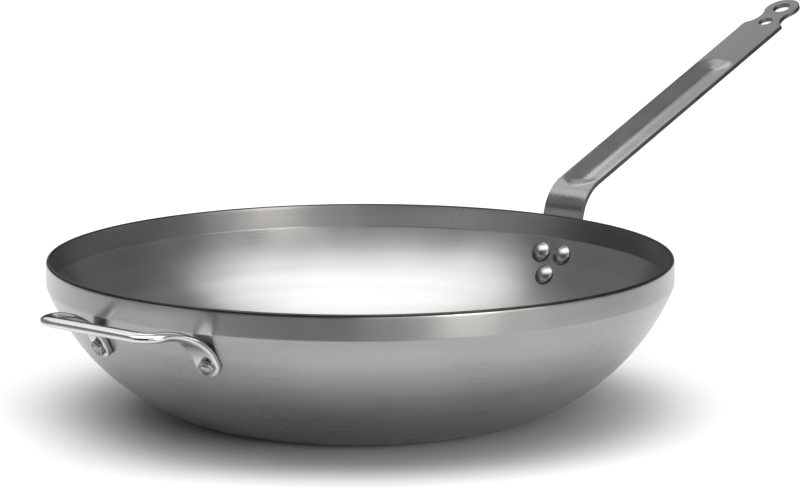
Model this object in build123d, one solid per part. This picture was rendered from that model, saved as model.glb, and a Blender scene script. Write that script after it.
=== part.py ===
"""Carbon steel wok: a pressed bowl, a long strip handle on three rivets and a helper handle on two.

Millimetres. The origin is the centre of the flat base's underside, +Z is up, the long handle
points along +X and the helper handle along -X.
"""

import os
from math import acos, asin, atan2, cos, degrees, hypot, pi, radians, sin, sqrt, tan

from build123d import *

# Bowl: one pressed sheet, given by its outer skin
rim_radius = 200.0
bowl_height = 100.0
sheet = 2.5
base_share = 0.4915  # flat part of the underside, of the rim's radius
knuckle_share = 0.342  # radius of the outer bend where the base turns up, of the rim's radius
knuckle_angle = 25.3  # slope at which the knuckle hands over to the side, in degrees
band_height = 16.0  # upright band under the rim
crease_radius = 4.0  # outer bend between the side and the band
rim_round_outer = 1.2
rim_round_inner = 0.7

# Long handle: one steel strip
strip_width = 33.0
strip_thickness = 3.0
shank_turn_share = 0.404  # how far the foot bend turns the strip from the side to upright
shank_length = 10.8  # straight stretch past the rim, in which the strip goes from curved to flat
shank_rise = 1.1  # height above the rim at which the top bend starts
bend_radius = 31.0  # top bend, on its upper face
run_angle = 22.8  # slope of the long straight run, in degrees
toe_radius = 13.0  # rounded lower end, about the lowest rivet

# Eye at the far end of the handle, measured along the run from the top bend
eye_distance = 254.4
eye_radius = 13.0
hanging_hole_radius = 6.0
small_hole_back = 21.4  # behind the hanging hole
small_hole_radius = 4.8
waist_half_width = 9.9
waist_radius = 15.0

# Pressed channel along the handle, measured along the run from the top bend
channel_start = -9.0  # below zero is on the bend
channel_end = 174.0
channel_half_width = 14.7
channel_flank_angle = 13.0  # in degrees
channel_valley_radius = 24.0
channel_slice_shares = (0.03, 0.14, 0.32, 0.62)  # of the length of a scooped end
channel_far_scoop = 9.0  # length of the scoop at the far end
channel_overdraw_share = 1.1  # width of the cutting shape where it stands clear of the strip

# Rivets of the long handle
handle_rivet_pitch = 18.5
handle_rivet_upper_drop = 10.6  # below the upright band
handle_rivet_lower_drop = 24.5
handle_shank_radius = 2.7
handle_head_radius = 7.0
handle_head_height = 4.0
handle_tail_radius = 5.5
handle_tail_height = 2.4

# Helper handle: a flattened bar bent into a bail
helper_turn = 1.0  # how far round it sits from the point opposite the long handle, in degrees
helper_rivet_spacing = 89.0
helper_rivet_drop = 18.8  # below the upright band
helper_overhang = 36.0  # middle of the grip beyond the rim
helper_bar_drop = 12.8  # middle of the grip below the rim
helper_tab_width = 16.0
helper_tab_thickness = 4.0
helper_tab_reach = 5.5  # straight part of a tab above its rivet
helper_tab_round = 1.2
helper_leg_lower_share = 0.2  # how long a leg keeps its tab's slope
helper_leg_upper_share = 0.85  # how long a leg keeps level before the corner
helper_corner_radius = 9.0
helper_neck_width = 10.5
helper_neck_thickness = 5.8
helper_neck_end_share = 0.4  # of the corner
helper_grip_start_share = 1.3  # of the corner
helper_bar_width = 13.0
helper_bar_thickness = 6.1
helper_round_share = 0.94  # rounding of the grip, as a share of its half width and thickness
helper_steps = 15  # sections from a tab to the middle of the grip
quarter_pull = 0.5523  # handle of a curve that draws a quarter circle

# Rivets of the helper handle
helper_shank_radius = 2.8
helper_head_radius = 6.0
helper_head_height = 3.2
helper_tail_radius = 5.2
helper_tail_height = 2.4
helper_ring_radius = 3.8  # middle of the groove left in the outer head by clinching
helper_ring_width = 0.8
helper_ring_depth = 0.6

# Fits
contact_gap = 0.05  # between curved faces that lie on each other
rivet_clearance = 0.1  # around a rivet's shank
head_lip_share = 0.18  # upright edge of a rivet head, as a share of its height
tail_lip_share = 0.6
overrun = 6.0  # how far a cutting shape passes its work

# The side of the bowl is one arc that leaves the knuckle smoothly and ends at the crease
base_radius = rim_radius * base_share
knuckle_radius = rim_radius * knuckle_share
knuckle = radians(knuckle_angle)
knuckle_end = (
    base_radius + knuckle_radius * sin(knuckle),
    knuckle_radius * (1 - cos(knuckle)),
)
side_chord = (rim_radius - knuckle_end[0], bowl_height - band_height - knuckle_end[1])
side_half_turn = atan2(side_chord[1], side_chord[0]) - knuckle
side_radius = hypot(*side_chord) / (2 * sin(side_half_turn))
side_centre = (
    knuckle_end[0] - side_radius * sin(knuckle),
    knuckle_end[1] + side_radius * cos(knuckle),
)

# The bend of the crease touches the side and the band from inside
crease_reach = rim_radius - crease_radius
crease_drop = sqrt((side_radius - crease_radius) ** 2 - (crease_reach - side_centre[0]) ** 2)
crease_centre = (crease_reach, side_centre[1] - crease_drop)
crease_slope = atan2(crease_centre[0] - side_centre[0], crease_drop)


def on_arc(centre, radius, slope):
    """Point of an arc about centre where the arc has this slope, in radians."""
    return centre[0] + radius * sin(slope), centre[1] - radius * cos(slope)


def arc_by_slope(centre, radius, start, end):
    """Arc about centre between two slopes."""
    return ThreePointArc(*(on_arc(centre, radius, at) for at in (start, (start + end) / 2, end)))


def side_slope(height):
    """Slope of the bowl's side at a height of its outer skin."""
    return acos((side_centre[1] - height) / side_radius)


def side_reach(height):
    """Radius of the bowl's outer skin at a height on its side."""
    return on_arc(side_centre, side_radius, side_slope(height))[0]


def lateral_azimuth(height, lateral):
    """Azimuth of the point of the bowl's side that lies this far beside the middle plane."""
    return asin(lateral / side_reach(height))


# Places of the rivets, as the height and azimuth where their lines cross the bowl's outer skin
band_foot = bowl_height - band_height
handle_rivet_upper_height = band_foot - handle_rivet_upper_drop
handle_rivet_lower_height = band_foot - handle_rivet_lower_drop
helper_rivet_height = band_foot - helper_rivet_drop
upper_azimuth = lateral_azimuth(handle_rivet_upper_height, handle_rivet_pitch / 2)
handle_rivets = {
    "handle_rivet_left": (handle_rivet_upper_height, upper_azimuth),
    "handle_rivet_right": (handle_rivet_upper_height, -upper_azimuth),
    "handle_rivet_lower": (handle_rivet_lower_height, 0),
}
helper_azimuth = lateral_azimuth(helper_rivet_height, helper_rivet_spacing / 2)
helper_middle = pi + radians(helper_turn)
helper_rivets = {
    "helper_rivet_left": (helper_rivet_height, helper_middle - helper_azimuth),
    "helper_rivet_right": (helper_rivet_height, helper_middle + helper_azimuth),
}


def rivet_frame(place, distance):
    """Plane square to a rivet's line, this far outside the bowl's skin, with Z pointing outward."""
    height, azimuth = place
    slope = side_slope(height)
    reach, up = on_arc(side_centre, side_radius + distance, slope)
    return Plane(
        origin=(reach * cos(azimuth), reach * sin(azimuth), up),
        x_dir=(-sin(azimuth), cos(azimuth), 0),
        z_dir=(sin(slope) * cos(azimuth), sin(slope) * sin(azimuth), -cos(slope)),
    )


# Slope of a helper tab in its leg's plane, and its lean out of that plane, from the bowl's side
tab_normal = rivet_frame((helper_rivet_height, helper_azimuth), 0).z_dir
tab_slope = atan2(tab_normal.X, -tab_normal.Z)
tab_lean = asin(tab_normal.Y)


def drill(place, shank_radius):
    """Clearance hole for a rivet's shank, through the sheet and whatever lies on it."""
    length = 2 * (sheet + helper_tab_thickness + overrun)
    hole = Cylinder(shank_radius + rivet_clearance, length)
    return rivet_frame(place, 0) * hole


def bowl_line(depth):
    """Profile of the bowl at a depth under its outer skin, from the axis to the rim."""
    bend = crease_radius - depth
    return [
        Line((0, depth), (base_radius, depth)),
        arc_by_slope((base_radius, knuckle_radius), knuckle_radius - depth, 0, knuckle),
        arc_by_slope(side_centre, side_radius - depth, knuckle, crease_slope),
        arc_by_slope(crease_centre, bend, crease_slope, pi / 2),
        Line(on_arc(crease_centre, bend, pi / 2), (rim_radius - depth, bowl_height)),
    ]


def bowl():
    """Bowl of even sheet with its rim rounded over and its rivet holes."""
    rim_outer, rim_inner = (rim_radius, bowl_height), (rim_radius - sheet, bowl_height)
    edges = [*bowl_line(0), *bowl_line(sheet), Line(rim_outer, rim_inner), Line((0, 0), (0, sheet))]
    section = make_face(edges)
    for corner, radius in ((rim_outer, rim_round_outer), (rim_inner, rim_round_inner)):
        section = fillet(section.vertices().sort_by_distance(corner)[0], radius)
    shell = revolve(Plane.XZ * section, Axis.Z)
    for place in handle_rivets.values():
        shell -= drill(place, handle_shank_radius)
    for place in helper_rivets.values():
        shell -= drill(place, helper_shank_radius)
    return shell


# Line of the long handle's upper face in its middle plane, as reach and height. The foot bend is
# as tight as it takes to leave the side at the crease and to end where the straight shank begins.
shank = crease_slope + shank_turn_share * (pi / 2 - crease_slope)
run = radians(run_angle)
shank_foot_height = bowl_height + shank_rise - shank_length * sin(shank)
crease_height = on_arc(side_centre, side_radius, crease_slope)[1]
foot_bend_radius = (shank_foot_height - crease_height) / (cos(crease_slope) - cos(shank))
foot_bend_centre = on_arc(side_centre, side_radius - foot_bend_radius, crease_slope)
shank_foot = on_arc(foot_bend_centre, foot_bend_radius + contact_gap, shank)
shank_top = (
    shank_foot[0] + shank_length * cos(shank),
    shank_foot[1] + shank_length * sin(shank),
)
bend_centre = on_arc(shank_top, bend_radius, shank)


def bend_point(slope, below):
    """Point of the top bend where it has this slope, below the upper face."""
    return on_arc(bend_centre, below - bend_radius, slope)


run_start = bend_point(run, 0)


def across(point, slope):
    """Plane across the strip at a point of its middle plane, with Y square to the upper face."""
    return Plane(origin=(point[0], 0, point[1]), x_dir=(0, 1, 0), z_dir=(cos(slope), 0, sin(slope)))


def strip_toe():
    """Foot of the handle: bent to the bowl's own curve and rounded about the lowest rivet."""
    low = side_slope(handle_rivet_lower_height) - 2 * toe_radius / side_radius
    spare = shank_length / 2
    lines = []
    for distance in (contact_gap, contact_gap + strip_thickness):
        foot = on_arc(foot_bend_centre, foot_bend_radius + distance, shank)
        lines += [
            arc_by_slope(side_centre, side_radius + distance, low, crease_slope),
            arc_by_slope(foot_bend_centre, foot_bend_radius + distance, crease_slope, shank),
            Line(foot, (foot[0] + spare * cos(shank), foot[1] + spare * sin(shank))),
        ]
    near, far = lines[:3], lines[3:]
    ends = [Line(near[0] @ 0, far[0] @ 0), Line(near[2] @ 1, far[2] @ 1)]
    section = make_face([*near, *far, *ends])
    turn = degrees(4 * asin(strip_width / 2 / rim_radius))
    patch = Rot(Z=-turn / 2) * revolve(Plane.XZ * section, Axis.Z, turn)
    above = Rectangle(strip_width, bowl_height, align=(Align.CENTER, Align.MIN))
    outline = make_hull(
        [
            *(Pos(0, handle_rivet_lower_height) * Circle(toe_radius)).edges(),
            *(Pos(0, handle_rivet_upper_height) * above).edges(),
        ]
    )
    toe = patch & extrude(Plane.YZ * outline, 2 * rim_radius)
    return split(toe, bisect_by=across(shank_foot, shank), keep=Keep.BOTTOM)


def strip_shank(toe):
    """Short upright stretch in which the strip goes from the foot's curve to flat."""
    foot_frame = across(shank_foot, shank)
    start = min(toe.faces(), key=lambda face: abs(foot_frame.to_local_coords(face.center()).Z))
    flat = Rectangle(strip_width, strip_thickness, align=(Align.CENTER, Align.MAX))
    end = across(shank_top, shank) * flat
    return loft([start, end.face()], ruled=True)


def strip_run():
    """Top bend and straight run, cut to the outline of the far end."""
    reach = eye_distance + 2 * eye_radius
    middle = (shank + run) / 2
    edges = []
    ends = []
    for below in (0, strip_thickness):
        bend = [bend_point(slope, below) for slope in (shank, middle, run)]
        far = (bend[2][0] + reach * cos(run), bend[2][1] + reach * sin(run))
        edges += [ThreePointArc(*bend), Line(bend[2], far)]
        ends.append((bend[0], far))
    edges += [Line(ends[0][0], ends[1][0]), Line(ends[0][1], ends[1][1])]
    blank = extrude(Plane.XZ * make_face(edges), strip_width / 2, both=True)
    plan = Plane(origin=(run_start[0], 0, run_start[1]), x_dir=(cos(run), 0, sin(run)),
                 z_dir=(-sin(run), 0, cos(run)))
    depth = strip_thickness + overrun
    return blank - extrude(plan * run_waste(), depth, both=True)


def run_waste():
    """What is cut from the run's plan: beside the waist, round the eye, and both holes."""
    small_hole_distance = eye_distance - small_hole_back
    waist_offset = waist_half_width + waist_radius
    waist_along = eye_distance - sqrt((eye_radius + waist_radius) ** 2 - waist_offset**2)
    shoulder = waist_along - sqrt(waist_radius**2 - (waist_offset - strip_width / 2) ** 2)
    touch = eye_radius / (eye_radius + waist_radius)
    touch_along = eye_distance + (waist_along - eye_distance) * touch
    width = 2 * strip_width
    neck = Rectangle(touch_along - shoulder, width, align=(Align.MIN, Align.CENTER))
    end = Rectangle(width, width, align=(Align.MIN, Align.CENTER))
    waste = Pos(touch_along, 0) * end - Pos(eye_distance, 0) * Circle(eye_radius)
    beside = Pos(shoulder, 0) * neck
    for side in (1, -1):
        waste += beside & (Pos(waist_along, side * waist_offset) * Circle(waist_radius))
    waste += Pos(eye_distance, 0) * Circle(hanging_hole_radius)
    waste += Pos(small_hole_distance, 0) * Circle(small_hole_radius)
    return waste


def channel_frame(along, below):
    """Plane across the channel at a distance along the run, below the upper face."""
    slope = run - min(along, 0) / bend_radius
    reach, up = bend_point(slope, below)
    ahead = max(along, 0)
    return across((reach + ahead * cos(slope), up + ahead * sin(slope)), slope)


def channel_section(half_width):
    """Rounded V whose flanks go on a little above the strip's face."""
    flank = radians(channel_flank_angle)
    valley = channel_valley_radius * half_width / channel_half_width
    touch = valley * sin(flank)
    floor = valley * (1 / cos(flank) - 1) - half_width * tan(flank)
    rise = floor + valley * (1 - cos(flank))
    wide = half_width * channel_overdraw_share
    high = (wide - half_width) * tan(flank)
    return make_face(
        [
            Line((-wide, high), (-touch, rise)),
            ThreePointArc((-touch, rise), (0, floor), (touch, rise)),
            Line((touch, rise), (wide, high)),
            Line((wide, high), (-wide, high)),
        ]
    )


def channel_scoop(start, length, below):
    """End of the channel, growing from a point at start to the full section over the length."""
    slices = [Vertex(channel_frame(start, below).origin)]
    for share in (*channel_slice_shares, 1):
        section = channel_section(channel_half_width * sqrt(1 - (1 - share) ** 2))
        slices.append(channel_frame(start + share * length, below) * section)
    return loft(slices)


def channel_form(below):
    """The channel with a scoop at both ends, its edges this far below the strip's upper face."""
    full_start = channel_start + channel_half_width
    full_end = channel_end - channel_far_scoop
    section = channel_frame(full_start, below) * channel_section(channel_half_width)
    near_scoop = channel_scoop(channel_start, channel_half_width, below)
    far_scoop = channel_scoop(channel_end, -channel_far_scoop, below)
    return near_scoop + extrude(section, full_end - full_start) + far_scoop


def long_handle():
    """Strip handle with its channel pressed through: a groove on top and the same bulge below."""
    toe = strip_toe()
    strip = strip_run() + strip_shank(toe) + toe
    strip += channel_form(strip_thickness)
    strip -= channel_form(0)
    for place in handle_rivets.values():
        strip -= drill(place, handle_shank_radius)
    return strip


helper_reach = rim_radius + helper_overhang
helper_bar_height = bowl_height - helper_bar_drop


def helper_line():
    """Middle line of half the helper handle above its tab, as the edges of leg, corner and grip.

    The half lies towards +X and +Y here.
    """
    middle = contact_gap + helper_tab_thickness / 2
    start = rivet_frame((helper_rivet_height, helper_azimuth), middle).origin
    up_tab = Vector(cos(tab_slope), 0, sin(tab_slope))
    tab_end = start + up_tab * helper_tab_reach
    leg_end = Vector(helper_reach - helper_corner_radius, start.Y, helper_bar_height)
    rise = leg_end.Z - tab_end.Z
    level = leg_end.X - tab_end.X - rise / tan(tab_slope)
    lower = tab_end + up_tab * (helper_leg_lower_share * rise / sin(tab_slope))
    upper = leg_end - Vector(helper_leg_upper_share * level, 0, 0)
    corner_end = Vector(helper_reach, start.Y - helper_corner_radius, helper_bar_height)
    return [
        Bezier(tab_end, lower, upper, leg_end),
        TangentArc(leg_end, corner_end, tangent=(1, 0, 0)),
        Line(corner_end, (helper_reach, 0, helper_bar_height)),
    ]


def ease(start, end, share):
    """Smooth passage from one value to another, held before the share 0 and after 1."""
    held = min(max(share, 0), 1)
    return start + (end - start) * (1 - cos(pi * held)) / 2


def oval(width, thickness, wide, deep):
    """Face whose corners are quarter ovals this wide and this deep."""
    half, flat = width / 2, thickness / 2
    near, low = wide * (1 - quarter_pull), deep * (1 - quarter_pull)
    corner = [(half - wide, flat), (half - near, flat), (half, flat - low), (half, flat - deep)]
    corners = []
    for x_side, y_side in ((1, -1), (1, 1), (-1, 1), (-1, -1)):
        points = [(x_side * x, y_side * y) for x, y in corner]
        corners.append(points if x_side * y_side < 0 else points[::-1])
    edges = [Bezier(*points) for points in corners]
    edges += [Line(corners[i - 1][-1], corners[i][0]) for i in range(len(corners))]
    return make_face(edges)


def helper_sections():
    """Planes across half the helper handle from its tab to mid grip, each with its section."""
    edges = helper_line()
    line = Wire(edges)
    leg, corner = (edge.length / line.length for edge in edges[:2])
    neck_end = leg + helper_neck_end_share * corner
    grip_start = leg + helper_grip_start_share * corner
    sections = []
    for step in range(helper_steps):
        share = step / (helper_steps - 1)
        up_leg = share / leg
        to_grip = (share - neck_end) / (grip_start - neck_end)
        width = ease(helper_tab_width, helper_neck_width, up_leg)
        width += ease(0, helper_bar_width - helper_neck_width, to_grip)
        thickness = ease(helper_tab_thickness, helper_neck_thickness, up_leg)
        thickness += ease(0, helper_bar_thickness - helper_neck_thickness, to_grip)
        wide = ease(helper_tab_round, helper_round_share * width / 2, up_leg)
        deep = ease(helper_tab_round, helper_round_share * thickness / 2, up_leg)
        ahead = line.tangent_at(share)
        beside = Vector(-ahead.Y, ahead.X, 0).normalized()
        lean = ease(tab_lean, 0, up_leg)
        across_it = beside * cos(lean) + ahead.cross(beside) * sin(lean)
        plane = Plane(origin=line.position_at(share), x_dir=across_it, z_dir=ahead)
        sections.append((plane, oval(width, thickness, wide, deep)))
    return sections


def helper_handle():
    """Bail of one bar: round-ended tabs on the bowl, legs that arch outward, and an oval grip."""
    sections = helper_sections()
    half = loft([plane * face for plane, face in sections])
    top, tab = sections[0]
    half += extrude(top * tab, helper_tab_reach, dir=-top.z_dir)
    foot = top.offset(-helper_tab_reach)
    outer = Rectangle(helper_tab_width, helper_tab_width, align=(Align.MIN, Align.CENTER))
    half += revolve(foot * (tab & outer), Axis(foot.origin, foot.y_dir), 180)
    bail = Rot(Z=degrees(helper_middle)) * (half + mirror(half, Plane.XZ))
    for place in helper_rivets.values():
        bail -= drill(place, helper_shank_radius)
    return bail


def dome(radius, height, lip_share):
    """Domed disc with an upright lip, standing on the XY plane."""
    lip = height * lip_share
    crown = height - lip
    ball = (radius**2 + crown**2) / (2 * crown)
    half = radius / 2
    middle = (half, height - ball + sqrt(ball**2 - half**2))
    section = make_face(
        [
            Line((0, 0), (radius, 0)),
            Line((radius, 0), (radius, lip)),
            ThreePointArc((radius, lip), middle, (0, height)),
            Line((0, height), (0, 0)),
        ]
    )
    return revolve(Plane.XZ * section, Axis.Z)


def rivet(place, shank_radius, head, tail, carried):
    """Domed head inside the bowl, shank, and outer head on the piece it carries."""
    inner_radius = side_radius - sheet
    head_radius = head.bounding_box().size.X / 2
    seat = contact_gap + inner_radius - sqrt(inner_radius**2 - head_radius**2)
    grip = sheet + contact_gap + carried + contact_gap
    shank_piece = Pos(0, 0, -seat) * Cylinder(
        shank_radius, seat + grip, align=(Align.CENTER, Align.CENTER, Align.MIN)
    )
    whole = shank_piece + Pos(0, 0, -seat) * Rot(X=180) * head + Pos(0, 0, grip) * tail
    return rivet_frame(place, -sheet) * whole


def handle_rivet(place):
    head = dome(handle_head_radius, handle_head_height, head_lip_share)
    tail = dome(handle_tail_radius, handle_tail_height, tail_lip_share)
    return rivet(place, handle_shank_radius, head, tail, strip_thickness)


def helper_rivet(place):
    """Rivet whose outer head is a flat disc with the ring groove of its clinching."""
    head = dome(helper_head_radius, helper_head_height, head_lip_share)
    tail = Cylinder(
        helper_tail_radius, helper_tail_height, align=(Align.CENTER, Align.CENTER, Align.MIN)
    )
    tail = fillet(tail.edges().sort_by(Axis.Z)[-1], helper_ring_depth)
    half = helper_ring_width / 2
    groove = Circle(helper_ring_radius + half) - Circle(helper_ring_radius - half)
    tail -= Pos(0, 0, helper_tail_height) * extrude(groove, -helper_ring_depth)
    return rivet(place, helper_shank_radius, head, tail, helper_tab_thickness)


pieces = {"bowl": bowl(), "long_handle": long_handle(), "helper_handle": helper_handle()}
for name, place in handle_rivets.items():
    pieces[name] = handle_rivet(place)
for name, place in helper_rivets.items():
    pieces[name] = helper_rivet(place)

os.makedirs("parts", exist_ok=True)
for name, piece in pieces.items():
    export_step(piece, f"parts/{name}.step")
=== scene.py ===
"""Looks of the carbon steel wok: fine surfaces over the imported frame, steels, floor, light, camera.

Metres, in the frame's own axes: +Z is up and the long handle points along +X.
"""

from math import acos, asin, atan2, cos, hypot, pi, radians, sin, sqrt, tan

import bmesh
import bpy
from mathutils import Matrix, Vector
from mathutils.geometry import delaunay_2d_cdt

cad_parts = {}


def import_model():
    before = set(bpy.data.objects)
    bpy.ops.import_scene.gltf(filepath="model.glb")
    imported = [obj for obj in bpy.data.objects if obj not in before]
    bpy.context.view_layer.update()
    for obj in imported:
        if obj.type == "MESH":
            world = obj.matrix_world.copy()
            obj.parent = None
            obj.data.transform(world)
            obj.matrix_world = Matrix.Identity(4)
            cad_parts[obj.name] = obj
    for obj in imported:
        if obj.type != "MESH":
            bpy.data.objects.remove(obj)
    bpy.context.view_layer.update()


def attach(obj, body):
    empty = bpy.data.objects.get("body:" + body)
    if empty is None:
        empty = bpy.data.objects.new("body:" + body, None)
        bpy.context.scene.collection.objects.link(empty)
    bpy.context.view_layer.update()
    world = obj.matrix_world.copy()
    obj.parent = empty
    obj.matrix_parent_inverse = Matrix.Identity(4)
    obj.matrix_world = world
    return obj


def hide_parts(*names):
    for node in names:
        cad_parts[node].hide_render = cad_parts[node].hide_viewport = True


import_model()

# Bowl, as its outer skin
rim_radius = 0.2
bowl_height = 0.1
sheet = 0.0025
base_radius = 0.0983
knuckle_radius = 0.0684
knuckle_angle = radians(25.3)
band_height = 0.016
crease_radius = 0.004
rim_round_depth = 0.0013  # the rim's outer edge is eased over this depth and height
rim_round_height = 0.0026
rim_round_inner = 0.0007
rim_painted_dark_depth = 0.0016  # the rim's top keeps dark scale, painted nearly black as a dark reflection along the edge, down to this depth

# Long handle, measured on the face that lies on the bowl and looks up along the run
strip_width = 0.033
strip_thickness = 0.003
strip_edge_round = 0.0004
strip_edge_support = 0.00025
shank_turn_share = 0.404
shank_length = 0.0108
shank_rise = 0.0011
bend_radius = 0.031
run_angle = radians(22.8)
toe_radius = 0.013
eye_distance = 0.2544
eye_radius = 0.013
hanging_hole_radius = 0.006
small_hole_distance = 0.233
small_hole_radius = 0.0048
waist_half_width = 0.0099
waist_radius = 0.015
strip_step_along = 0.0016
strip_step_across = 0.001

# Pressed channel
channel_start = -0.009
channel_end = 0.174
channel_half_width = 0.0147
channel_flank_angle = radians(13.0)
channel_valley_radius = 0.024
channel_far_scoop = 0.012
channel_softness = 0.00035
channel_softness_span = 6  # the softening ends this many times its size outside the edge

# Rivets of the long handle
handle_rivet_pitch = 0.0185
handle_rivet_upper_height = 0.0734
handle_rivet_lower_height = 0.0595
handle_shank_radius = 0.0027
handle_head_radius = 0.007
handle_head_height = 0.004
handle_tail_radius = 0.0055
handle_tail_height = 0.0024

# Helper handle
helper_turn = radians(1.0)
helper_rivet_spacing = 0.089
helper_rivet_height = 0.0652
helper_reach = 0.236
helper_bar_height = 0.0872
helper_tab_width = 0.016
helper_tab_thickness = 0.004
helper_tab_reach = 0.0055
helper_tab_round = 0.0012
helper_leg_lower_share = 0.2
helper_leg_upper_share = 0.85
helper_corner_radius = 0.009
helper_neck_width = 0.0105
helper_neck_thickness = 0.0058
helper_neck_end_share = 0.4
helper_grip_start_share = 1.3
helper_bar_width = 0.013
helper_bar_thickness = 0.0061
helper_round_share = 0.94
helper_step = 0.001

# Rivets of the helper handle
helper_shank_radius = 0.0028
helper_head_radius = 0.006
helper_head_height = 0.0032
helper_tail_radius = 0.0052
helper_tail_height = 0.0024
helper_ring_radius = 0.0038
helper_ring_width = 0.0008
helper_ring_depth = 0.0006

# All rivets
contact_gap = 0.00005
head_lip_share = 0.18
tail_lip_share = 0.6
rivet_edge_round = 0.0003

# Steps of the curved stretches
flat_rings = 12
knuckle_steps = 16
side_steps = 60
crease_steps = 10
band_steps = 6
rim_outer_steps = 14
rim_inner_steps = 6
bowl_turns = 384
toe_steps = 24
toe_side_steps = 9
waist_steps = 22
eye_steps = 36
hanging_hole_turns = 56
small_hole_turns = 48
strip_edge_steps = 4
helper_leg_steps = 120
helper_corner_steps = 40
helper_bar_steps = 40
helper_tab_steps = 4
helper_tab_end_steps = 24
section_corner_steps = 8
dome_steps = 20
disc_edge_steps = 8
disc_ring_steps = 10
rivet_turns = 72

# Limits of the mesh making
merge_distance = 0.000002  # joins the two halves of the helper handle
plan_tolerance = 0.0000001
least_step = 0.000000001
least_mitre = 0.3  # stops a sharp corner from running far out

# Steels: how bright each is, its tint, and how its noise changes shade and roughness
noise_middle = (0.3, 0.7)  # where most of a noise lies
least_reach = 0.001  # keeps the noise round the axis from a division by nothing
sheet_shade = 0.36
sheet_tint = (1.0, 0.995, 0.985)
sheet_band_scales = (0.6, 60)  # of a noise: round the bowl's axis and along its profile
sheet_line_scales = (1.5, 700)
sheet_cloud_scale = 22
sheet_band_shades = (0.93, 1.05)
sheet_cloud_shades = (0.95, 1.03)
sheet_roughness = (0.27, 0.31)
sheet_line_roughness = (-0.006, 0.006)
sheet_line_depth = 0.000003
sheet_brushing = 0.6
sheet_brush_turn = 0.25  # of a full turn, which lays the brush lines round the axis
strip_shade = 0.36
strip_tint = (1.0, 0.995, 0.98)
strip_cloud_scale = 60
strip_grain_scale = 500
strip_cloud_shades = (0.96, 1.03)
strip_roughness = (0.2, 0.25)
strip_grain_roughness = (-0.01, 0.01)
strip_grain_depth = 0.000002
# Dark edge steel: scale on the strip's cut edges, and painted shade on the lip round each rivet head
scale_and_painted_shade_grey = 0.14
# The rim's scale, painted nearly black as a painted dark reflection along its edge
rim_scale_and_painted_reflection_grey = 0.05
dark_steel_tint = (1.0, 0.99, 0.97)
dark_steel_wear_scale = 90
dark_steel_wear_shades = (0.85, 1.2)
dark_steel_roughness = (0.32, 0.4)
helper_shade = 0.66
helper_roughness = (0.12, 0.17)
rivet_shade = 0.36
rivet_roughness = (0.28, 0.34)
bright_tint = (1.0, 1.0, 0.99)
bright_wear_scale = 120
bright_wear_shades = (0.96, 1.03)
wear_depth = 0.00002

# Camera, fitted to the photograph: first turned about the frame's Z axis, then placed and tilted
camera_turn = radians(-47.6)
camera_distance = 2.1458
camera_height = 0.4855
camera_yaw = radians(0.672)
camera_pitch = radians(-10.048)
camera_roll = radians(-0.083)
camera_lens = 153.6
sensor_width = 36.0
camera_clip_end = 50

# Floor and light
floor_reach = 14.0
floor_white = 0.74
# Grey painted on the floor in front of and beside the object, as painted shade
floor_painted_shade_grey = 0.3
floor_roughness = 0.9
near_lift = 0.28  # brightness that the camera and reflections see added to the white floor near the object
far_lift = 0.62  # the same far from it
# Where the floor's painted shade fades into white, in front and at the sides
painted_shade_front = (-0.48, -0.24)
painted_shade_side = (0.5, 0.95)
unshaded_widening = 0.3  # how fast the white, unshaded floor grows wider behind the object
near_lift_from = (0.16, 0.24)
far_lift_from = (0.4, 1.2)
air = 0.03
energy_share = 4  # an area lamp's energy, over its area times its radiance
overhead_height = 1.5
panel_distance = 2.3
panel_aim = (0, 0, 0.08)
warm = (1, 0.97, 0.92)

# The side of the bowl is one arc between the knuckle and the crease, as in the frame
knuckle_end = (
    base_radius + knuckle_radius * sin(knuckle_angle),
    knuckle_radius * (1 - cos(knuckle_angle)),
)
side_chord = (rim_radius - knuckle_end[0], bowl_height - band_height - knuckle_end[1])
side_half_turn = atan2(side_chord[1], side_chord[0]) - knuckle_angle
side_radius = hypot(*side_chord) / (2 * sin(side_half_turn))
side_centre = (
    knuckle_end[0] - side_radius * sin(knuckle_angle),
    knuckle_end[1] + side_radius * cos(knuckle_angle),
)
crease_reach = rim_radius - crease_radius
crease_drop = sqrt((side_radius - crease_radius) ** 2 - (crease_reach - side_centre[0]) ** 2)
crease_centre = (crease_reach, side_centre[1] - crease_drop)
crease_slope = atan2(crease_centre[0] - side_centre[0], crease_drop)


def on_arc(centre, radius, slope):
    """Point of an arc about centre where the arc has this slope."""
    return centre[0] + radius * sin(slope), centre[1] - radius * cos(slope)


def spread(start, end, steps):
    """Evenly spaced values from start to end, both included."""
    return [start + (end - start) * i / steps for i in range(steps + 1)]


def arc_points(centre, radius, start, end, steps):
    return [on_arc(centre, radius, slope) for slope in spread(start, end, steps)]


def side_slope(height):
    return acos((side_centre[1] - height) / side_radius)


def side_reach(height):
    return on_arc(side_centre, side_radius, side_slope(height))[0]


def lateral_azimuth(height, lateral):
    return asin(lateral / side_reach(height))


def new_piece(name, shape):
    """A smooth mesh object from a bmesh, riding on the root and taking its finish from a slot."""
    bmesh.ops.recalc_face_normals(shape, faces=shape.faces)
    mesh = bpy.data.meshes.new(name)
    shape.to_mesh(mesh)
    shape.free()
    mesh.shade_smooth()
    piece = bpy.data.objects.new(name, mesh)
    bpy.context.scene.collection.objects.link(piece)
    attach(piece, "root")
    return piece


def revolved(profile, turns):
    """Bmesh of a closed profile of (radius, height) points, which starts and ends on the axis."""
    shape = bmesh.new()
    rings = []
    for radius, height in profile:
        if radius == 0:
            rings.append([shape.verts.new((0, 0, height))] * turns)
            continue
        angles = [2 * pi * i / turns for i in range(turns)]
        rings.append([shape.verts.new((radius * cos(a), radius * sin(a), height)) for a in angles])
    for low, high in zip(rings, rings[1:]):
        for i in range(turns):
            j = (i + 1) % turns
            corners = [low[i], low[j], high[j], high[i]]
            shape.faces.new(list(dict.fromkeys(corners)))
    return shape


# The bowl's mesh

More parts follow.
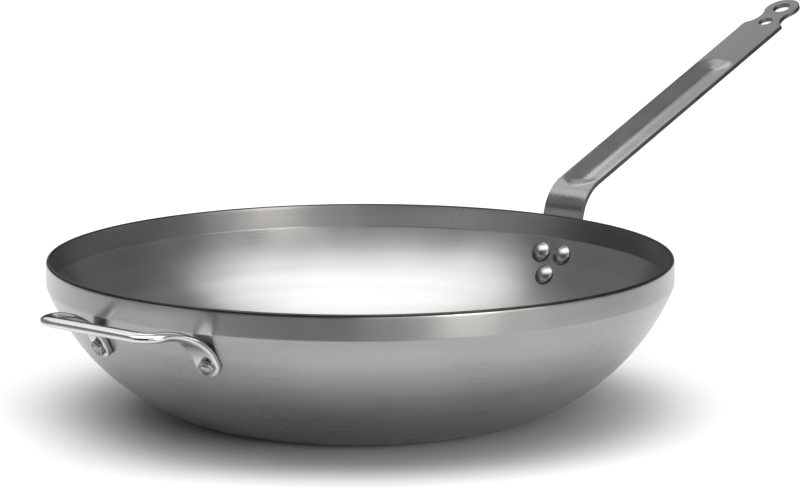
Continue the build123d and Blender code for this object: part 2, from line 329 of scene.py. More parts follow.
def skin(depth, top):
    """Profile of the bowl at a depth under its outer skin, from the axis to the rim's rounding."""
    bend = crease_radius - depth
    points = [(base_radius * i / flat_rings, depth) for i in range(flat_rings)]
    points += arc_points((base_radius, knuckle_radius), knuckle_radius - depth, 0,
                         knuckle_angle, knuckle_steps)
    points += arc_points(side_centre, side_radius - depth, knuckle_angle, crease_slope,
                         side_steps)[1:]
    points += arc_points(crease_centre, bend, crease_slope, pi / 2, crease_steps)[1:]
    start = points[-1][1]
    points += [(rim_radius - depth, height) for height in spread(start, top, band_steps)[1:]]
    return points


def bowl():
    """The pressed sheet with its rim rounded over."""
    outer = skin(0, bowl_height - rim_round_height)
    inner = skin(sheet, bowl_height - rim_round_inner)
    over = [(rim_radius - rim_round_depth * (1 - cos(a)),
             bowl_height - rim_round_height * (1 - sin(a)))
            for a in spread(0, pi / 2, rim_outer_steps)]
    edge = rim_radius - sheet + rim_round_inner
    back = [(edge - rim_round_inner * sin(a), bowl_height - rim_round_inner * (1 - cos(a)))
            for a in spread(0, pi / 2, rim_inner_steps)]
    shape = revolved(outer + over[1:] + back + inner[::-1][1:], bowl_turns)
    # The rim's top takes the second finish: dark scale painted nearly black, a painted dark reflection
    # along the edge
    for face in shape.faces:
        if all(vert.co.z > bowl_height - rim_painted_dark_depth for vert in face.verts):
            face.material_index = 1
    piece = new_piece("bowl_shell", shape)
    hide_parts("bowl")
    return piece


# The long handle's mesh: a flat plan of distance along and across, laid along the strip's line

shank_angle = crease_slope + shank_turn_share * (pi / 2 - crease_slope)
shank_foot_height = bowl_height + shank_rise - shank_length * sin(shank_angle)
crease_height = on_arc(side_centre, side_radius, crease_slope)[1]
foot_bend_radius = (shank_foot_height - crease_height) / (cos(crease_slope) - cos(shank_angle))
foot_bend_centre = on_arc(side_centre, side_radius - foot_bend_radius, crease_slope)
shank_foot = on_arc(foot_bend_centre, foot_bend_radius + contact_gap, shank_angle)
shank_top = (
    shank_foot[0] + shank_length * cos(shank_angle),
    shank_foot[1] + shank_length * sin(shank_angle),
)
bend_centre = on_arc(shank_top, bend_radius, shank_angle)

# Distances along are counted from the run's start; the bend, the shank and the foot lie below it
bend_length = bend_radius * (shank_angle - run_angle)
foot_bend_length = (foot_bend_radius + contact_gap) * (shank_angle - crease_slope)
shank_from = -bend_length - shank_length
foot_from = shank_from - foot_bend_length


def strip_line(along, below):
    """Reach, height and lateral curl of the strip at a distance along, below its upper face."""
    if along >= 0:
        reach, up = on_arc(bend_centre, below - bend_radius, run_angle)
        return reach + along * cos(run_angle), up + along * sin(run_angle), 0
    if along >= -bend_length:
        slope = run_angle - along / bend_radius
        return *on_arc(bend_centre, below - bend_radius, slope), 0
    if along >= shank_from:
        left = -bend_length - along
        reach, up = on_arc(bend_centre, below - bend_radius, shank_angle)
        curl = left / shank_length
        return reach - left * cos(shank_angle), up - left * sin(shank_angle), curl
    if along >= foot_from:
        slope = shank_angle + (along - shank_from) / (foot_bend_radius + contact_gap)
        return *on_arc(foot_bend_centre, foot_bend_radius + contact_gap + below, slope), 1
    slope = crease_slope + (along - foot_from) / (side_radius + contact_gap)
    return *on_arc(side_centre, side_radius + contact_gap + below, slope), 1


def strip_point(along, across, below):
    """Place of a point of the strip in the frame."""
    reach, up, curl = strip_line(along, below)
    reach -= curl * (reach - sqrt(reach**2 - across**2))
    return Vector((reach, across, up))


def along_at_height(height):
    """Distance along at which the foot's contact face has this height, on the bowl's side."""
    slope = acos((side_centre[1] - height) / (side_radius + contact_gap))
    return foot_from + (slope - crease_slope) * (side_radius + contact_gap)


def channel_depth(along, across):
    """How far the pressing moves the sheet down, with its edges softened and its ends scooped out."""
    near = (along - channel_start) / channel_half_width
    far = (channel_end - along) / channel_far_scoop
    into = min(near, far, 1)
    if into <= 0:
        return 0
    offset = hypot(across, channel_half_width * (1 - into))
    raw = (channel_half_width - offset) * tan(channel_flank_angle)
    touch = channel_valley_radius * sin(channel_flank_angle)
    if offset < touch:
        middle = (channel_half_width - touch) * tan(channel_flank_angle)
        raw = middle + sqrt(channel_valley_radius**2 - offset**2)
        raw -= channel_valley_radius * cos(channel_flank_angle)
    if raw <= -channel_softness_span * channel_softness:
        return 0
    return (raw + sqrt(raw**2 + channel_softness**2)) / 2


def strip_outline(step):
    """Points round the strip's plan, from the toe along one side and back along the other."""
    side = []
    corner = (strip_width / 2, handle_rivet_upper_height - handle_rivet_lower_height)
    lean = atan2(corner[1], corner[0]) - acos(toe_radius / hypot(*corner))
    for angle in spread(-pi / 2, lean, toe_steps):
        height = handle_rivet_lower_height + toe_radius * sin(angle)
        side.append((along_at_height(height), toe_radius * cos(angle)))
    wide_from = along_at_height(handle_rivet_upper_height)
    start = side[-1]
    side += [(start[0] + (wide_from - start[0]) * share,
              start[1] + (strip_width / 2 - start[1]) * share)
             for share in spread(0, 1, toe_side_steps)[1:]]
    offset = waist_half_width + waist_radius
    waist_along = eye_distance - sqrt((eye_radius + waist_radius) ** 2 - offset**2)
    reach = offset - strip_width / 2
    shoulder = waist_along - sqrt(waist_radius**2 - reach**2)
    count = round((shoulder - wide_from) / step)
    side += [(along, strip_width / 2) for along in spread(wide_from, shoulder, count)[1:]]
    first = atan2(-reach, shoulder - waist_along)
    last = atan2(-offset, eye_distance - waist_along)
    first = first if first > 0 else first + 2 * pi
    last = last + 2 * pi
    side += [(waist_along + waist_radius * cos(a), offset + waist_radius * sin(a))
             for a in spread(first, last, waist_steps)[1:]]
    touch = atan2(offset, waist_along - eye_distance)
    side += [(eye_distance + eye_radius * cos(a), eye_radius * sin(a))
             for a in spread(touch, 0, eye_steps)[1:]]
    return side + [(along, -across) for along, across in side[-2:0:-1]]


def circle_plan(along, radius, count):
    """Plan loop of a hole, turning so that the hole and the outline keep the strip to one side."""
    return [(along + radius * cos(a), radius * sin(a)) for a in spread(0, 2 * pi, count)[:-1]]


def inset(loop, distance):
    """A closed plan loop moved towards the material, with mitred corners."""
    moved = []
    for before, here, after in zip(loop[-1:] + loop[:-1], loop, loop[1:] + loop[:1]):
        one = (Vector(here) - Vector(before)).normalized()
        two = (Vector(after) - Vector(here)).normalized()
        normal = Vector((one.y + two.y, -one.x - two.x)).normalized()
        stretch = 1 / max(normal.dot(Vector((one.y, -one.x))), least_mitre)
        moved.append((here[0] + normal.x * distance * stretch,
                      here[1] + normal.y * distance * stretch))
    return moved


def within(point, loop):
    """Whether a plan point lies inside a closed plan loop."""
    inside = False
    for one, two in zip(loop, loop[1:] + loop[:1]):
        if (one[1] > point[1]) != (two[1] > point[1]):
            share = (point[1] - one[1]) / (two[1] - one[1])
            inside ^= point[0] < one[0] + (two[0] - one[0]) * share
    return inside


def half_width_at(along, loop_side):
    """Half the strip's width at a distance along, read from one side of its outline."""
    for one, two in zip(loop_side, loop_side[1:]):
        if one[0] <= along <= two[0]:
            share = (along - one[0]) / max(two[0] - one[0], least_step)
            return one[1] + (two[1] - one[1]) * share
    return 0


def long_handle():
    """The strip: two faces of the same plan, one below the other, joined by rounded edges."""
    outline = strip_outline(strip_step_along)
    holes = [
        circle_plan(eye_distance, hanging_hole_radius, hanging_hole_turns),
        circle_plan(small_hole_distance, small_hole_radius, small_hole_turns),
    ]
    loops = [outline, *holes]
    face_loops = [inset(loop, strip_edge_round + strip_edge_support) for loop in loops]
    side = outline[: len(outline) // 2 + 1]
    margin = strip_edge_round + strip_edge_support + strip_step_across / 2
    points = [Vector(point) for loop in face_loops for point in loop]
    edges = []
    start = 0
    for loop in face_loops:
        edges += [(start + i, start + (i + 1) % len(loop)) for i in range(len(loop))]
        start += len(loop)
    rows = round((outline[len(outline) // 2][0] - outline[0][0]) / strip_step_along)
    columns = round(strip_width / strip_step_across)
    for along in spread(outline[0][0], eye_distance + eye_radius, rows)[1:-1]:
        half = half_width_at(along, side) - margin
        for across in spread(-strip_width / 2, strip_width / 2, columns):
            away = min(hypot(along - centre, across) - radius for centre, radius in (
                (eye_distance, hanging_hole_radius), (small_hole_distance, small_hole_radius)))
            if abs(across) < half and away > margin:
                points.append(Vector((along, across)))
    plan, _, triangles, *_ = delaunay_2d_cdt(points, edges, [], 0, plan_tolerance, False)
    middles = [sum((plan[i] for i in triangle), Vector((0, 0))) / 3 for triangle in triangles]
    kept = [triangle for triangle, middle in zip(triangles, middles)
            if within(middle, face_loops[0])
            and not any(within(middle, hole) for hole in face_loops[1:])]
    shape = bmesh.new()

    def lay(loop, level):
        return [shape.verts.new(strip_point(a, c, level + channel_depth(a, c))) for a, c in loop]

    faces = [lay(plan, level) for level in (0, strip_thickness)]
    for verts in faces:
        for triangle in kept:
            shape.faces.new([verts[i] for i in triangle])
    start = 0
    for loop in loops:
        count = len(loop)
        rings = [faces[0][start:start + count]]
        for angle in spread(0, pi / 2, strip_edge_steps):
            edge = inset(loop, strip_edge_round * (1 - sin(angle)))
            rings.append(lay(edge, strip_edge_round * (1 - cos(angle))))
        for angle in spread(pi / 2, 0, strip_edge_steps):
            edge = inset(loop, strip_edge_round * (1 - sin(angle)))
            rings.append(lay(edge, strip_thickness - strip_edge_round * (1 - cos(angle))))
        rings.append(faces[1][start:start + count])
        for one, two in zip(rings, rings[1:]):
            for i in range(count):
                j = (i + 1) % count
                shape.faces.new([one[i], one[j], two[j], two[i]]).material_index = 1
        start += count
    piece = new_piece("strip_handle", shape)
    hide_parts("long_handle")
    return piece


# The helper handle's mesh

def rivet_axes(place, distance):
    """Matrix square to a rivet's line, this far outside the bowl's skin, with Z pointing outward."""
    height, azimuth = place
    slope = side_slope(height)
    reach, up = on_arc(side_centre, side_radius + distance, slope)
    beside = Vector((-sin(azimuth), cos(azimuth), 0))
    out = Vector((sin(slope) * cos(azimuth), sin(slope) * sin(azimuth), -cos(slope)))
    axes = Matrix((beside, out.cross(beside), out)).transposed().to_4x4()
    return Matrix.Translation((reach * cos(azimuth), reach * sin(azimuth), up)) @ axes


helper_azimuth = lateral_azimuth(helper_rivet_height, helper_rivet_spacing / 2)
helper_middle = pi + helper_turn
tab_normal = rivet_axes((helper_rivet_height, helper_azimuth), 0).col[2].to_3d()
tab_slope = atan2(tab_normal.x, -tab_normal.z)
tab_lean = asin(tab_normal.y)


def helper_line():
    """Middle line of half the helper handle above its tab, and where its leg and corner end."""
    middle = contact_gap + helper_tab_thickness / 2
    start = rivet_axes((helper_rivet_height, helper_azimuth), middle).to_translation()
    up_tab = Vector((cos(tab_slope), 0, sin(tab_slope)))
    tab_end = start + up_tab * helper_tab_reach
    leg_end = Vector((helper_reach - helper_corner_radius, start.y, helper_bar_height))
    rise = leg_end.z - tab_end.z
    level = leg_end.x - tab_end.x - rise / tan(tab_slope)
    lower = tab_end + up_tab * (helper_leg_lower_share * rise / sin(tab_slope))
    upper = leg_end - Vector((helper_leg_upper_share * level, 0, 0))
    line = []
    for t in spread(0, 1, helper_leg_steps):
        line.append(tab_end * (1 - t) ** 3 + lower * 3 * t * (1 - t) ** 2
                    + upper * 3 * t**2 * (1 - t) + leg_end * t**3)
    leg = len(line) - 1
    centre = leg_end - Vector((0, helper_corner_radius, 0))
    for a in spread(pi / 2, 0, helper_corner_steps)[1:]:
        line.append(centre + helper_corner_radius * Vector((cos(a), sin(a), 0)))
    corner = len(line) - 1
    for y in spread(line[-1].y, 0, helper_bar_steps)[1:]:
        line.append(Vector((helper_reach, y, helper_bar_height)))
    return line, leg, corner


def ease(start, end, share):
    """Smooth passage from one value to another, held before the share 0 and after 1."""
    held = min(max(share, 0), 1)
    return start + (end - start) * (1 - cos(pi * held)) / 2


def half_section(width, thickness, wide, deep):
    """Right half of a section, from its upper middle round to its lower middle."""
    half, flat = width / 2, thickness / 2
    points = [(0, flat), ((half - wide) / 2, flat)]
    points += [(half - wide * (1 - sin(a)), flat - deep * (1 - cos(a)))
               for a in spread(0, pi / 2, section_corner_steps)]
    return points + [(x, -y) for x, y in points[::-1]]


def full_section(half):
    return half + [(-x, y) for x, y in half[-2:0:-1]]


def helper_half():
    """Bmesh of the half of the helper handle that lies towards +X and +Y before it is turned."""
    line, leg, corner = helper_line()
    lengths = [0]
    for one, two in zip(line, line[1:]):
        lengths.append(lengths[-1] + (two - one).length)
    total = lengths[-1]
    leg_share, corner_share = lengths[leg] / total, (lengths[corner] - lengths[leg]) / total
    neck_end = leg_share + helper_neck_end_share * corner_share
    grip_start = leg_share + helper_grip_start_share * corner_share
    shape = bmesh.new()
    rings = []
    index = 0
    for length in spread(0, total, round(total / helper_step)):
        while index < len(line) - 2 and lengths[index + 1] < length:
            index += 1
        part = (length - lengths[index]) / (lengths[index + 1] - lengths[index])
        here = line[index].lerp(line[index + 1], part)
        before, after = line[max(index - 1, 0)], line[min(index + 2, len(line) - 1)]
        ahead = (line[index + 1] - before).lerp(after - line[index], part).normalized()
        share = length / total
        up_leg = share / leg_share
        to_grip = (share - neck_end) / (grip_start - neck_end)
        width = ease(helper_tab_width, helper_neck_width, up_leg)
        width += ease(0, helper_bar_width - helper_neck_width, to_grip)
        thickness = ease(helper_tab_thickness, helper_neck_thickness, up_leg)
        thickness += ease(0, helper_bar_thickness - helper_neck_thickness, to_grip)
        wide = ease(helper_tab_round, helper_round_share * width / 2, up_leg)
        deep = ease(helper_tab_round, helper_round_share * thickness / 2, up_leg)
        beside = Vector((-ahead.y, ahead.x, 0)).normalized()
        lean = ease(tab_lean, 0, up_leg)
        across = beside * cos(lean) + ahead.cross(beside) * sin(lean)
        rings.append(((here, across, ahead), half_section(width, thickness, wide, deep)))
    (here, across, ahead), half = rings[0]
    up = ahead.cross(across)
    foot = here - ahead * helper_tab_reach
    for back in spread(0, helper_tab_reach, helper_tab_steps)[1:]:
        rings.insert(0, ((here - ahead * back, across, ahead), half))

    def ring(axes, points):
        origin, x_dir, z_dir = axes
        y_dir = z_dir.cross(x_dir)
        return [shape.verts.new(origin + x_dir * x + y_dir * y) for x, y in points]

    laid = [ring(axes, full_section(points)) for axes, points in rings]
    for one, two in zip(laid, laid[1:]):
        for i in range(len(one)):
            j = (i + 1) % len(one)
            shape.faces.new([one[i], one[j], two[j], two[i]])
    fans = []
    for turn in spread(0, pi, helper_tab_end_steps):
        out = across * cos(turn) - ahead * sin(turn)
        fans.append([shape.verts.new(foot + out * x + up * y) for x, y in half])
    for one, two in zip(fans, fans[1:]):
        for i in range(len(half) - 1):
            shape.faces.new([one[i], one[i + 1], two[i + 1], two[i]])
    return shape


def helper_handle():
    """Bail of one bar: round-ended tabs on the bowl, legs that arch outward, and an oval grip."""
    shape = helper_half()
    copy = bmesh.ops.duplicate(shape, geom=shape.verts[:] + shape.edges[:] + shape.faces[:])
    for item in copy["geom"]:
        if isinstance(item, bmesh.types.BMVert):
            item.co.y = -item.co.y
    bmesh.ops.remove_doubles(shape, verts=shape.verts, dist=merge_distance)
    bmesh.ops.dissolve_degenerate(shape, edges=shape.edges, dist=merge_distance)
    bmesh.ops.transform(shape, matrix=Matrix.Rotation(helper_middle, 4, "Z"), verts=shape.verts)
    piece = new_piece("helper_bail", shape)
    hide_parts("helper_handle")
    return piece


# The rivets' meshes

def dome_profile(radius, height, lip_share):
    """Points of a domed disc from its foot edge over its rounded lip to the middle of its crown."""
    lip = height * lip_share
    crown = height - lip
    ball = (radius**2 + crown**2) / (2 * crown)
    turn = asin(radius / ball)
    points = [(radius, 0), (radius, lip - rivet_edge_round / 2)]
    inner = turn - rivet_edge_round / ball
    for angle in spread(inner, 0, dome_steps):
        points.append((ball * sin(angle), height - ball + ball * cos(angle)))
    points[-1] = (0, height)
    return points


def disc_profile():
    """Points of the helper rivet's outer head, with its rounded edge and the ring of its clinching."""
    radius, height, depth = helper_tail_radius, helper_tail_height, helper_ring_depth
    centre = (radius - depth, height - depth)
    points = [(radius, 0)]
    points += [(centre[0] + depth * cos(a), centre[1] + depth * sin(a))
               for a in spread(0, pi / 2, disc_edge_steps)]
    half = helper_ring_width / 2
    for angle in spread(0, pi, disc_ring_steps):
        points.append((helper_ring_radius + half * cos(angle), height - depth * sin(angle)))
    points.append((0, height))
    return points


def rivet(name, seat_place, shank_radius, head, tail, carried, head_radius):
    """A set rivet: its head inside the bowl, its shank, and its tail outside what it carries."""
    inner_radius = side_radius - sheet
    seat = contact_gap + inner_radius - sqrt(inner_radius**2 - head_radius**2)
    grip = sheet + contact_gap + carried + contact_gap
    profile = [(radius, -seat - height) for radius, height in head[::-1]]
    profile += [(shank_radius, -seat), (shank_radius, grip)]
    profile += [(radius, grip + height) for radius, height in tail]
    shape = revolved(profile, rivet_turns)
    # The lip round the head takes the dark edge steel: painted shade where the head meets the bowl
    for face in shape.faces:
        if all(abs(hypot(vert.co.x, vert.co.y) - head_radius) < contact_gap for vert in face.verts):
            face.material_index = 1
    bmesh.ops.transform(shape, matrix=rivet_axes(seat_place, -sheet), verts=shape.verts)
    piece = new_piece(name + "_set", shape)
    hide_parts(name)
    return piece


def rivets():
    azimuth = lateral_azimuth(handle_rivet_upper_height, handle_rivet_pitch / 2)
    head = dome_profile(handle_head_radius, handle_head_height, head_lip_share)
    tail = dome_profile(handle_tail_radius, handle_tail_height, tail_lip_share)
    made = []
    for name, height, turn in (
        ("handle_rivet_left", handle_rivet_upper_height, azimuth),
        ("handle_rivet_right", handle_rivet_upper_height, -azimuth),
        ("handle_rivet_lower", handle_rivet_lower_height, 0),
    ):
        made.append(rivet(name, (height, turn), handle_shank_radius, head, tail,
                          strip_thickness, handle_head_radius))
    head = dome_profile(helper_head_radius, helper_head_height, head_lip_share)
    for name, turn in (("helper_rivet_left", -helper_azimuth), ("helper_rivet_right", helper_azimuth)):
        made.append(rivet(name, (helper_rivet_height, helper_middle + turn), helper_shank_radius,
                          head, disc_profile(), helper_tab_thickness, helper_head_radius))
    return made


# Materials

def shader(name):
    """A new node material, its node tree and its Principled shader."""
    material = bpy.data.materials.new(name)
    material.use_nodes = True
    return material, material.node_tree, material.node_tree.nodes["Principled BSDF"]


def link(tree, source, target):
    tree.links.new(source, target)


def maths(tree, operation, *values):
    """A Math node whose inputs are sockets or numbers; gives its output."""
    node = tree.nodes.new("ShaderNodeMath")
    node.operation = operation
    for socket, value in zip(node.inputs, values):
        if isinstance(value, (int, float)):
            socket.default_value = value
        else:
            link(tree, value, socket)
    return node.outputs[0]


def noise(tree, vector, scale, detail):
    node = tree.nodes.new("ShaderNodeTexNoise")
    node.inputs["Scale"].default_value = scale
    node.inputs["Detail"].default_value = detail
    link(tree, vector, node.inputs["Vector"])
    return node.outputs["Fac"]


def remap(tree, value, low, high):
    """Maps the middle of a noise's values to a range."""
    node = tree.nodes.new("ShaderNodeMapRange")
    for socket, number in zip(node.inputs[1:], (*noise_middle, low, high)):
        socket.default_value = number
    link(tree, value, node.inputs[0])
    return node.outputs[0]


def grey(tree, value, tint):
    """A near grey colour of this value."""
    node = tree.nodes.new("ShaderNodeCombineColor")
    for socket, share in zip(node.inputs, tint):
        link(tree, maths(tree, "MULTIPLY", value, share), socket)
    return node.outputs[0]


def place(tree):
    node = tree.nodes.new("ShaderNodeTexCoord")
    return node.outputs["Object"]


def bump(tree, height, distance):
    node = tree.nodes.new("ShaderNodeBump")
    node.inputs["Distance"].default_value = distance
    link(tree, height, node.inputs["Height"])
    return node.outputs["Normal"]


def ring_vector(tree, around, outward):
    """Coordinates that change slowly round the bowl's axis and quickly along its profile."""
    split = tree.nodes.new("ShaderNodeSeparateXYZ")
    link(tree, place(tree), split.inputs[0])
    x, y, z = split.outputs
    squares = maths(tree, "ADD", maths(tree, "MULTIPLY", x, x), maths(tree, "MULTIPLY", y, y))
    reach = maths(tree, "SQRT", squares)
    safe = maths(tree, "MAXIMUM", reach, least_reach)
    joined = tree.nodes.new("ShaderNodeCombineXYZ")
    link(tree, maths(tree, "MULTIPLY", maths(tree, "DIVIDE", x, safe), around), joined.inputs[0])
    link(tree, maths(tree, "MULTIPLY", maths(tree, "DIVIDE", y, safe), around), joined.inputs[1])
    link(tree, maths(tree, "MULTIPLY", maths(tree, "ADD", reach, z), outward), joined.inputs[2])
    return joined.outputs[0]


def sheet_steel():
    """Bare carbon steel: spun bands round the axis, fine brush lines and faint clouding."""
    material, tree, surface = shader("carbon_steel")
    bands = noise(tree, ring_vector(tree, *sheet_band_scales), scale=1, detail=3)
    lines = noise(tree, ring_vector(tree, *sheet_line_scales), scale=1, detail=2)
    clouds = noise(tree, place(tree), sheet_cloud_scale, detail=4)
    value = maths(tree, "MULTIPLY", remap(tree, bands, *sheet_band_shades),
                  remap(tree, clouds, *sheet_cloud_shades))
    value = maths(tree, "MULTIPLY", value, sheet_shade)
    link(tree, grey(tree, value, sheet_tint), surface.inputs["Base Color"])
    rough = maths(tree, "ADD", remap(tree, clouds, *sheet_roughness),
                  remap(tree, lines, *sheet_line_roughness))
    link(tree, rough, surface.inputs["Roughness"])
    surface.inputs["Metallic"].default_value = 1
    surface.inputs["Anisotropic"].default_value = sheet_brushing
    surface.inputs["Anisotropic Rotation"].default_value = sheet_brush_turn
    tangent = tree.nodes.new("ShaderNodeTangent")
    tangent.direction_type = "RADIAL"
    tangent.axis = "Z"
    link(tree, tangent.outputs[0], surface.inputs["Tangent"])
    link(tree, bump(tree, lines, sheet_line_depth), surface.inputs["Normal"])
    return material


def strip_steel():
    """Darker steel with the sheen of its rolled skin."""
    material, tree, surface = shader("strip_steel")
    clouds = noise(tree, place(tree), strip_cloud_scale, detail=4)
    grain = noise(tree, place(tree), strip_grain_scale, detail=2)
    value = maths(tree, "MULTIPLY", remap(tree, clouds, *strip_cloud_shades), strip_shade)
    link(tree, grey(tree, value, strip_tint), surface.inputs["Base Color"])
    rough = maths(tree, "ADD", remap(tree, clouds, *strip_roughness),
                  remap(tree, grain, *strip_grain_roughness))
    link(tree, rough, surface.inputs["Roughness"])
    surface.inputs["Metallic"].default_value = 1
    link(tree, bump(tree, grain, strip_grain_depth), surface.inputs["Normal"])
    return material


def scale_and_painted_shade_steel(name, shade):
    """Dark steel, worn a little brighter in places: scale on the strip's cut edges, painted shade on
    the lip round each rivet head, and on the rim a painted dark reflection.
    """
    material, tree, surface = shader(name)
    wear = noise(tree, place(tree), dark_steel_wear_scale, detail=4)
    value = maths(tree, "MULTIPLY", remap(tree, wear, *dark_steel_wear_shades), shade)
    link(tree, grey(tree, value, dark_steel_tint), surface.inputs["Base Color"])
    link(tree, remap(tree, wear, *dark_steel_roughness), surface.inputs["Roughness"])
    surface.inputs["Metallic"].default_value = 1
    link(tree, bump(tree, wear, wear_depth), surface.inputs["Normal"])
    return material


def bright_steel(name, shade, roughness):
    """Polished steel with faint wear."""
    material, tree, surface = shader(name)
    wear = noise(tree, place(tree), bright_wear_scale, detail=4)
    value = maths(tree, "MULTIPLY", remap(tree, wear, *bright_wear_shades), shade)
    link(tree, grey(tree, value, bright_tint), surface.inputs["Base Color"])
    link(tree, remap(tree, wear, *roughness), surface.inputs["Roughness"])
    surface.inputs["Metallic"].default_value = 1
    link(tree, bump(tree, wear, wear_depth), surface.inputs["Normal"])
    return material


# Stage

def smooth_step(tree, value, low, high):
    """Smooth passage from 0 at low to 1 at high."""
    node = tree.nodes.new("ShaderNodeMapRange")
    node.interpolation_type = "SMOOTHSTEP"
    for socket, number in zip(node.inputs[1:], (low, high, 0, 1)):
        socket.default_value = number
    link(tree, value, node.inputs[0])
    return node.outputs[0]


def floor():
    """Large floor: white under and behind the object, and painted greyer farther round, in front and
    at the sides, as painted shade on the floor.
    """
    shape = bmesh.new()
    bmesh.ops.create_grid(shape, x_segments=1, y_segments=1, size=floor_reach)
    mesh = bpy.data.meshes.new("floor")
    shape.to_mesh(mesh)
    shape.free()
    piece = bpy.data.objects.new("floor", mesh)
    bpy.context.scene.collection.objects.link(piece)
    piece.matrix_world = Matrix.Rotation(camera_turn, 4, "Z")
    material, tree, surface = shader("floor_with_painted_shade")
    split = tree.nodes.new("ShaderNodeSeparateXYZ")
    link(tree, place(tree), split.inputs[0])
    x, y, _ = split.outputs
    widening = maths(tree, "MULTIPLY", maths(tree, "MAXIMUM", y, 0), unshaded_widening)
    beside = maths(tree, "SUBTRACT", maths(tree, "ABSOLUTE", x), widening)
    # Painted shade: the floor turns grey in front of and beside the object, as if that floor lay in
    # shade
    unshaded_floor = maths(tree, "MULTIPLY", smooth_step(tree, y, *painted_shade_front),
                  maths(tree, "SUBTRACT", 1, smooth_step(tree, beside, *painted_shade_side)))
    whiter = maths(tree, "MULTIPLY", unshaded_floor, floor_white - floor_painted_shade_grey)
    tone = maths(tree, "ADD", floor_painted_shade_grey, whiter)
    link(tree, grey(tree, tone, (1, 1, 1)), surface.inputs["Base Color"])
    surface.inputs["Roughness"].default_value = floor_roughness
    surface.inputs["Specular IOR Level"].default_value = 0
    path = tree.nodes.new("ShaderNodeLightPath")
    seen = maths(tree, "MAXIMUM", path.outputs["Is Camera Ray"], path.outputs["Is Glossy Ray"])
    seen = maths(tree, "MAXIMUM", seen, path.outputs["Is Transmission Ray"])
    length = tree.nodes.new("ShaderNodeVectorMath")
    length.operation = "LENGTH"
    link(tree, place(tree), length.inputs[0])
    away = length.outputs["Value"]
    near = maths(tree, "MULTIPLY", smooth_step(tree, away, *near_lift_from), near_lift)
    far = maths(tree, "MULTIPLY", smooth_step(tree, away, *far_lift_from), far_lift)
    lift = maths(tree, "MULTIPLY", maths(tree, "ADD", near, far), unshaded_floor)
    surface.inputs["Emission Color"].default_value = (1, 1, 1, 1)
    link(tree, maths(tree, "MULTIPLY", seen, lift), surface.inputs["Emission Strength"])
    mesh.materials.append(material)


def world():
    made = bpy.data.worlds.new("studio")
    made.use_nodes = True
    bpy.context.scene.world = made
    background = made.node_tree.nodes["Background"]
    background.inputs["Color"].default_value = (*[air] * 3, 1)
    background.inputs["Strength"].default_value = 1


def lamp(name, middle, aim, size, radiance, tint=(1, 1, 1)):
    """Soft box at a place given as the camera sees it: X to the right, Y away, Z up."""
    light = bpy.data.lights.new(name, "AREA")
    light.shape = "RECTANGLE"
    light.size, light.size_y = size
    light.energy = energy_share * size[0] * size[1] * radiance
    light.color = tint
    piece = bpy.data.objects.new(name, light)
    bpy.context.scene.collection.objects.link(piece)
    turn = (Vector(aim) - Vector(middle)).to_track_quat("-Z", "Y").to_matrix().to_4x4()
    stand = Matrix.Translation(middle) @ turn
    piece.matrix_world = Matrix.Rotation(camera_turn, 4, "Z") @ stand
    piece.visible_camera = False


def panel(name, azimuth, elevation, wide, tall, radiance, tint=(1, 1, 1)):
    """Soft box round the object, in degrees: azimuth 0 is the camera's side and 90 its right."""
    level = panel_distance * cos(radians(elevation))
    middle = (level * sin(radians(azimuth)), -level * cos(radians(azimuth)),
              panel_aim[2] + panel_distance * sin(radians(elevation)))
    size = tuple(2 * panel_distance * tan(radians(angle / 2)) for angle in (wide, tall))
    lamp(name, middle, panel_aim, size, radiance, tint)


def camera():
    made = bpy.data.cameras.new("camera")
    made.lens = camera_lens
    made.sensor_width = sensor_width
    made.sensor_fit = "HORIZONTAL"
    made.clip_end = camera_clip_end
    piece = bpy.data.objects.new("camera", made)
    bpy.context.scene.collection.objects.link(piece)
    ahead = Vector((sin(camera_yaw) * cos(camera_pitch), cos(camera_yaw) * cos(camera_pitch),
                    sin(camera_pitch)))
    right = Vector((cos(camera_yaw), -sin(camera_yaw), 0))
    up = right.cross(ahead)
    rolled_right = right * cos(camera_roll) + up * sin(camera_roll)
    rolled_up = up * cos(camera_roll) - right * sin(camera_roll)
    axes = Matrix((rolled_right, rolled_up, -ahead)).transposed().to_4x4()
    stand = Matrix.Translation((0, -camera_distance, camera_height)) @ axes
    piece.matrix_world = Matrix.Rotation(camera_turn, 4, "Z") @ stand
    bpy.context.scene.camera = piece


camera()
shell = bowl()
strip = long_handle()
bail = helper_handle()
fasteners = rivets()
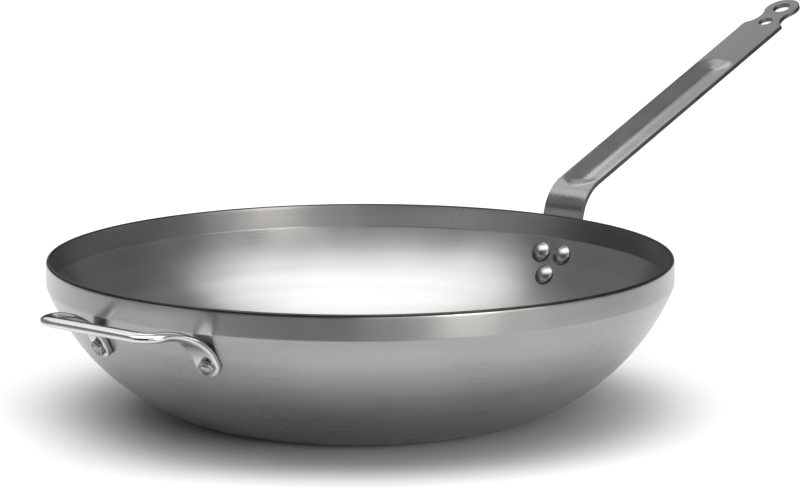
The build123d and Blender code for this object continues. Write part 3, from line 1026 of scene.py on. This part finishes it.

# The first finish of a piece covers its faces, the second its cut edges: dark scale on the strip's
# edges, painted shade on the lip round each rivet head, and scale painted nearly black on the rim's
# top as a painted dark reflection
edge_scale_and_painted_shade = scale_and_painted_shade_steel("scale_and_painted_shade_steel", scale_and_painted_shade_grey)
shell.data.materials.append(sheet_steel())
shell.data.materials.append(scale_and_painted_shade_steel("rim_scale_and_painted_reflection", rim_scale_and_painted_reflection_grey))
strip.data.materials.append(strip_steel())
strip.data.materials.append(edge_scale_and_painted_shade)
bail.data.materials.append(bright_steel("helper_polish", helper_shade, helper_roughness))
rivet_finish = bright_steel("rivet_polish", rivet_shade, rivet_roughness)
for fastener in fasteners:
    fastener.data.materials.append(rivet_finish)
    fastener.data.materials.append(edge_scale_and_painted_shade)

floor()
world()

# Overhead lamps lie side by side, because each would hide what lies behind it in a reflection
for name, across, away, wide, deep, radiance in (
    ("key", -0.1, -0.3, 1.2, 1.2, 2.65),
    ("key_left", -1.0, -0.3, 0.6, 1.2, 2.3),
    ("key_right", 0.8, -0.3, 0.6, 1.2, 2.3),
    ("far_left", -1.6, -0.5, 0.6, 0.8, 0.8),
    ("far_right", 1.4, -0.3, 0.6, 1.2, 1.1),
    ("key_front", -0.1, -1.1, 1.2, 0.4, 1.1),
    ("overhead_front", -0.6, -1.5, 2.4, 0.4, 0.25),
    ("back_right_high", 0.8, 0.8, 1.8, 1.0, 0.25),
    ("back_middle_high", -0.4, 1.05, 0.6, 0.6, 0.9),
    ("back_left_high", -1.0, 0.8, 0.6, 1.0, 0.9),
):
    lamp(name, (across, away, overhead_height), (across, away, 0), (wide, deep), radiance)

# Round the object: azimuth, elevation, width and height in degrees, then radiance
panel("window", 36, 9, 20, 22, 5.0, warm)
panel("window_side", 55, 9, 18, 22, 1.8, warm)
panel("window_top", 30, 32, 20, 24, 0.8, warm)
panel("front_right", 13, 9, 26, 22, 0.9)
panel("side_right", 75, 9, 30, 22, 0.4)
panel("side_left", -75, 9, 30, 22, 0.4)
panel("back_right", 120, 20, 56, 44, 0.15)
panel("back_left", -120, 20, 56, 44, 0.2)
panel("back_middle", -160, 32, 24, 24, 0.85)
panel("back_low", 169, 32, 38, 24, 0.5)
bpy.context.scene.view_settings.view_transform = "Standard"
